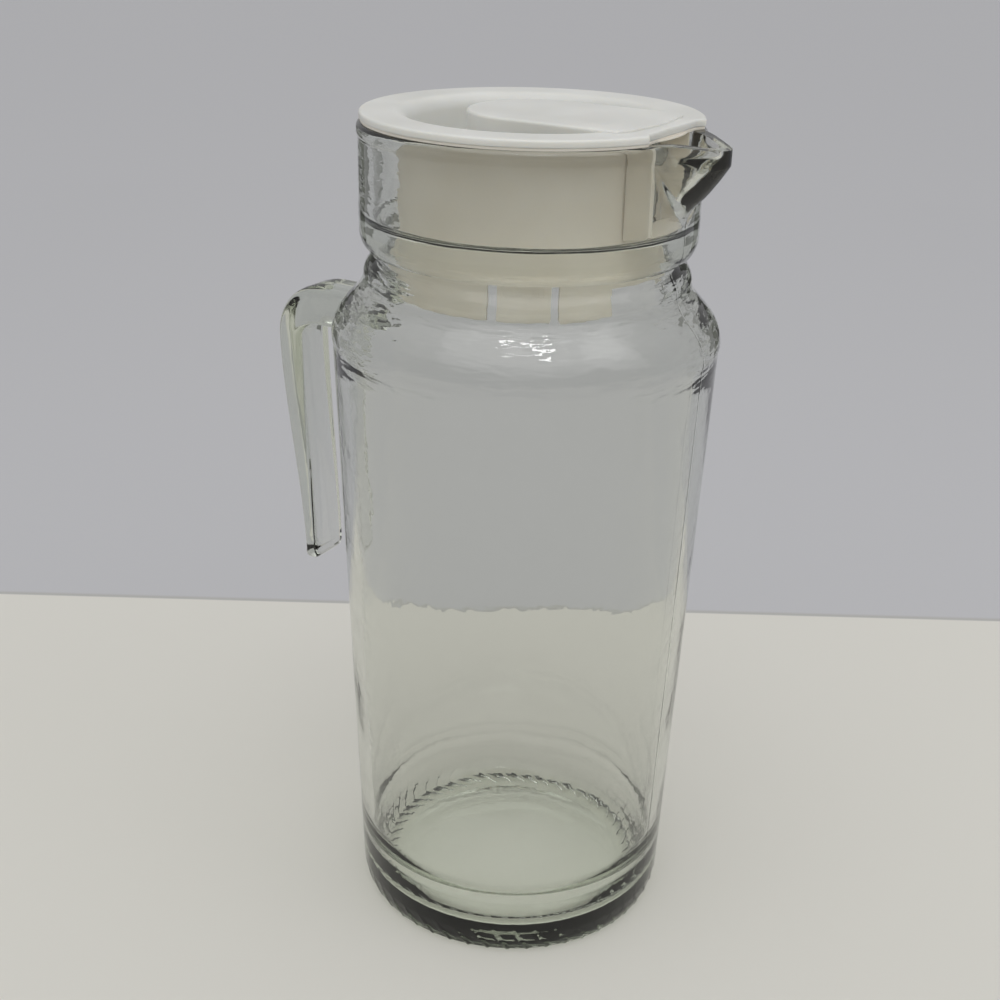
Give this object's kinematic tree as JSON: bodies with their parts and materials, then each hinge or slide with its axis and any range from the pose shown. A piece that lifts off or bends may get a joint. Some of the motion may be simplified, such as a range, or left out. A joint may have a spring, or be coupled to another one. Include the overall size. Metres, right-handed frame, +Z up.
{
  "type": "glass pitcher with lid",
  "caption": "Tall glass jug with a pressed pouring spout, an open-ended strap handle and a push-in plastic lid whose cap turns to open or shut the spout.",
  "frame": {"origin": "centre of the standing ring, on the surface that the jug stands on", "axes": "+Z up along the jug's axis, +X towards the spout's tip, -X towards the handle"},
  "size_m": [0.143, 0.1106, 0.2456],
  "materials": {
    "clear_glass": "pressed soda-lime glass, clear with a faint green tint",
    "cream_plastic": "moulded polyethylene, satin",
    "white_plastic": "moulded polyethylene, soft gloss"
  },
  "bodies": {
    "jug": {"glass_jug": "clear_glass"},
    "insert": {"pour_insert": "cream_plastic"},
    "cap": {"lid_cap": "white_plastic"}
  },
  "joints": [
    {"name": "lid_lift", "type": "slide", "parent": "jug", "child": "insert", "axis": [0, 0, 1], "range_m": [0, 0.055]},
    {"name": "cap_turn", "type": "hinge", "parent": "insert", "child": "cap", "pos_m": [0, 0, 0.243], "axis": [0, 0, 1], "continuous": true}
  ]
}
